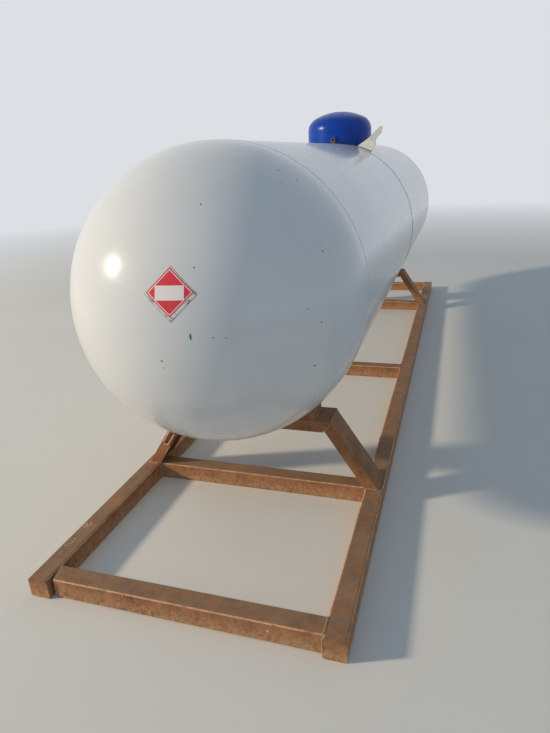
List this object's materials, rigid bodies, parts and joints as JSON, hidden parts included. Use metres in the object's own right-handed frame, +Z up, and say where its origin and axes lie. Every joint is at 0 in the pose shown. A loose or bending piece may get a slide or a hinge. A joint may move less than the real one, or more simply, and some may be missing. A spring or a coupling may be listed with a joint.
{
  "type": "horizontal pressure tank",
  "caption": "Long round-ended pressure tank lying on two channel saddles, on a welded square-tube skid, with a hinged round hood over its valves.",
  "frame": {"origin": "on the ground, under the middle of the tank and of the skid", "axes": "+Z up, +Y along the tank from the end nearest the camera to the far end, +X to the right in the picture"},
  "size_m": [1.116, 4.896, 1.658],
  "materials": {
    "tank_paint": "gloss",
    "hood_paint": "gloss",
    "hasp_steel": "satin",
    "valve_brass": "satin",
    "gauge_metal": "satin",
    "skid_steel": "matte"
  },
  "bodies": {
    "tank": {"front_head": "tank_paint", "rear_head": "tank_paint", "front_shell": "tank_paint", "rear_shell": "tank_paint", "front_head_weld": "tank_paint", "rear_head_weld": "tank_paint", "middle_weld": "tank_paint", "hood_collar": "tank_paint", "hinge_bracket": "tank_paint", "hinge_pin": "hasp_steel", "hasp_staple": "hasp_steel", "relief_valve": "valve_brass", "filler_valve": "valve_brass", "level_gauge": "gauge_metal", "service_valve": "valve_brass", "vapour_valve": "valve_brass", "side_bracket": "tank_paint", "left_runner": "skid_steel", "right_runner": "skid_steel", "left_front_cap": "skid_steel", "left_rear_cap": "skid_steel", "right_front_cap": "skid_steel", "right_rear_cap": "skid_steel", "front_cross_member": "skid_steel", "rear_cross_member": "skid_steel", "middle_cross_member": "skid_steel", "front_saddle_tube": "skid_steel", "rear_saddle_tube": "skid_steel", "front_saddle_beam": "skid_steel", "rear_saddle_beam": "skid_steel", "front_left_leg": "skid_steel", "front_right_leg": "skid_steel", "rear_left_leg": "skid_steel", "rear_right_leg": "skid_steel", "front_bearing_block": "skid_steel", "rear_bearing_block": "skid_steel", "front_tie_loop": "skid_steel"},
    "valve_hood": {"hood": "hood_paint", "hood_hinge_leaf": "hood_paint", "hood_hasp": "hasp_steel"}
  },
  "joints": [
    {"name": "hood_hinge", "type": "hinge", "parent": "tank", "child": "valve_hood", "pos_m": [0, 0.569, 1.482], "axis": [-1, 0, 0], "range_deg": [0, 100]}
  ]
}
